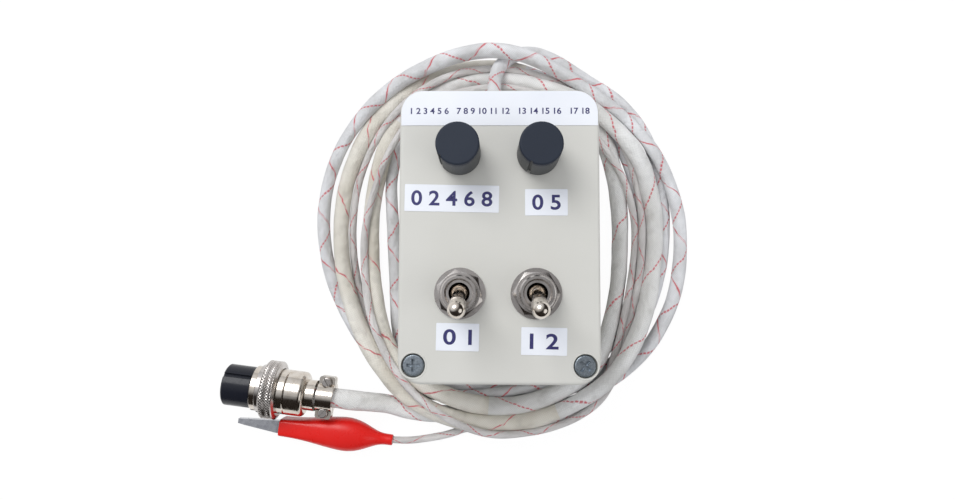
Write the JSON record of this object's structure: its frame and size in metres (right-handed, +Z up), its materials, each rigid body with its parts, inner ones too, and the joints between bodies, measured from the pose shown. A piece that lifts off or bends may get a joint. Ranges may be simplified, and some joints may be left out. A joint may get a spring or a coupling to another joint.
{
  "type": "engine control box",
  "caption": "Hand-held control box with two rotary knobs, toggle switches, coiled cable, round screw-locking connector and an earth lead with a sprung clip.",
  "frame": {"origin": "centre of the case's underside, at the bottom of the whole part", "axes": "+Z up out of the panel, +Y along the case towards its cable end, +X to the right of the panel"},
  "size_m": [0.1814, 0.1638, 0.0759],
  "materials": {
    "case_plastic": "moulded, fine grain, satin",
    "screw_steel": "zinc plated, dulled",
    "strip_white": "laminated strip",
    "knob_plastic": "moulded",
    "cap_plastic": "satin",
    "bright_nickel": "nickel plated",
    "dull_nickel": "nickel plated, handled",
    "zinc_steel": "zinc plated",
    "brown_phenolic": "moulded phenolic",
    "solder_brass": "tinned brass",
    "grommet_rubber": "moulded",
    "tie_nylon": "nylon",
    "cable_sleeve": "white braided sleeve with a red tracer",
    "wire_pvc": "extruded",
    "insert_plastic": "moulded",
    "clip_steel": "nickel plated sheet",
    "boot_red": "soft, glossy",
    "lead_sleeve": "thin white braided sleeve with a red tracer"
  },
  "bodies": {
    "case": {"base_shell": "case_plastic", "lid": "case_plastic", "lid_screws": "screw_steel", "title_strip": "strip_white", "control_strips": "strip_white", "rotary_washers": "zinc_steel", "rotary_nuts": "zinc_steel", "rotary_lugs": "solder_brass", "toggle_washers": "dull_nickel", "toggle_nuts": "dull_nickel", "toggle_back_nuts": "dull_nickel", "toggle_tags": "solder_brass", "cable_grommet": "grommet_rubber", "cable_tie": "tie_nylon", "cable_exit": "cable_sleeve", "cable_coil": "cable_sleeve", "cable_tail": "cable_sleeve", "inner_wires": "wire_pvc", "plug_insert": "insert_plastic", "plug_contacts": "solder_brass", "plug_front_shell": "bright_nickel", "plug_back_shell": "bright_nickel", "cable_clamp": "bright_nickel", "clamp_screws": "dull_nickel", "clip_lower_jaw": "clip_steel", "clip_pin": "clip_steel", "clip_spring": "clip_steel", "clip_boot": "boot_red", "clip_lead": "lead_sleeve", "throttle_control_bushing": "zinc_steel", "throttle_control_body": "zinc_steel", "brake_control_bushing": "zinc_steel", "brake_control_body": "zinc_steel", "power_switch_bushing": "dull_nickel", "power_switch_frame": "zinc_steel", "power_switch_housing": "brown_phenolic", "reverse_switch_bushing": "dull_nickel", "reverse_switch_frame": "zinc_steel", "reverse_switch_housing": "brown_phenolic"},
    "throttle_dial": {"throttle_knob": "knob_plastic", "throttle_knob_cap": "cap_plastic", "throttle_control_shaft": "zinc_steel"},
    "brake_dial": {"brake_knob": "knob_plastic", "brake_knob_cap": "cap_plastic", "brake_control_shaft": "zinc_steel"},
    "power_lever": {"power_switch_lever": "bright_nickel"},
    "reverse_lever": {"reverse_switch_lever": "bright_nickel"},
    "lock_ring": {"coupling_ring": "bright_nickel"},
    "clip_jaw": {"clip_upper_jaw": "clip_steel"}
  },
  "joints": [
    {"name": "throttle_turn", "type": "hinge", "parent": "case", "child": "throttle_dial", "pos_m": [-0.0135, 0.0275, 0.051], "axis": [0, 0, 1], "range_deg": [-300, 0]},
    {"name": "brake_turn", "type": "hinge", "parent": "case", "child": "brake_dial", "pos_m": [0.0131, 0.0275, 0.051], "axis": [0, 0, 1], "range_deg": [-300, 0]},
    {"name": "power_throw", "type": "hinge", "parent": "case", "child": "power_lever", "pos_m": [-0.0132, -0.0196, 0.054], "axis": [-1, 0, 0], "range_deg": [0, 30]},
    {"name": "reverse_throw", "type": "hinge", "parent": "case", "child": "reverse_lever", "pos_m": [0.0124, -0.0196, 0.054], "axis": [-1, 0, 0], "range_deg": [0, 30]},
    {"name": "lock_ring_turn", "type": "hinge", "parent": "case", "child": "lock_ring", "pos_m": [-0.08793, -0.05695, 0.01125], "axis": [0.9923, -0.1236, 0], "continuous": true},
    {"name": "clip_open", "type": "hinge", "parent": "case", "child": "clip_jaw", "pos_m": [-0.08194, -0.07203, 0.0057], "axis": [0.1184, 0.993, 0], "range_deg": [0, 15], "stiffness_Nm_per_rad": 0.03}
  ]
}
